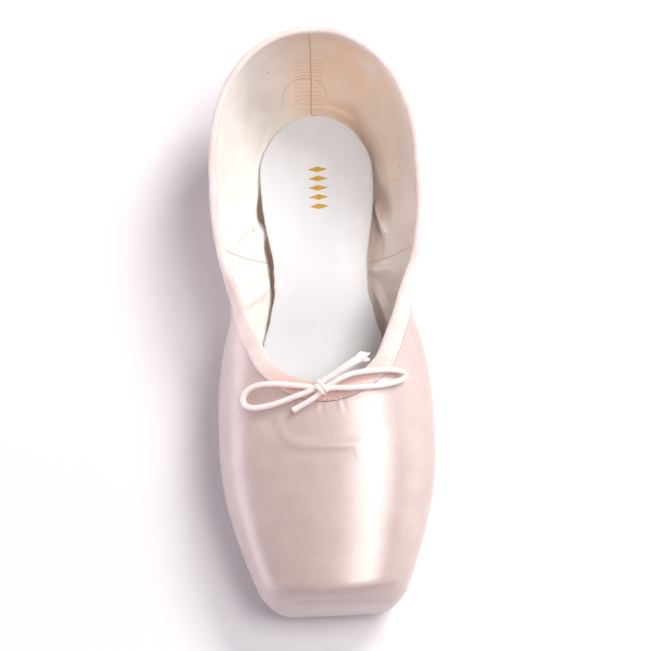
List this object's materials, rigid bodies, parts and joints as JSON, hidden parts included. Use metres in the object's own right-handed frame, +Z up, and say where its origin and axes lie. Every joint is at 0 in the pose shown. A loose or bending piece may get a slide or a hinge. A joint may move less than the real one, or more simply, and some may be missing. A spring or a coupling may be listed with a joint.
{
  "type": "pointe shoe",
  "caption": "Satin pointe shoe with a stiff box and flat toe platform, leather sole, leather sock, folded binding and a drawstring tied in a bow.",
  "frame": {"origin": "on the floor under the middle of the shoe", "axes": "+Z up, +Y towards the heel, -Y towards the toe, +X to the right seen from above with the toe towards the viewer"},
  "size_m": [0.0866, 0.2363, 0.0575],
  "materials": {
    "sole_leather": "napped tan leather",
    "satin": "glossy pale pink satin",
    "sock_leather": "matte pale grey leather",
    "binding_cotton": "fine ribbed pale pink cotton",
    "cord_cotton": "matte ivory pink cotton cord"
  },
  "bodies": {
    "root": {"outsole": "sole_leather", "upper": "satin", "insole": "sock_leather", "binding": "binding_cotton", "drawstring_knot": "cord_cotton", "bow_loop_left": "cord_cotton", "bow_loop_right": "cord_cotton", "bow_end_short": "cord_cotton", "bow_end_long": "cord_cotton"}
  },
  "joints": []
}
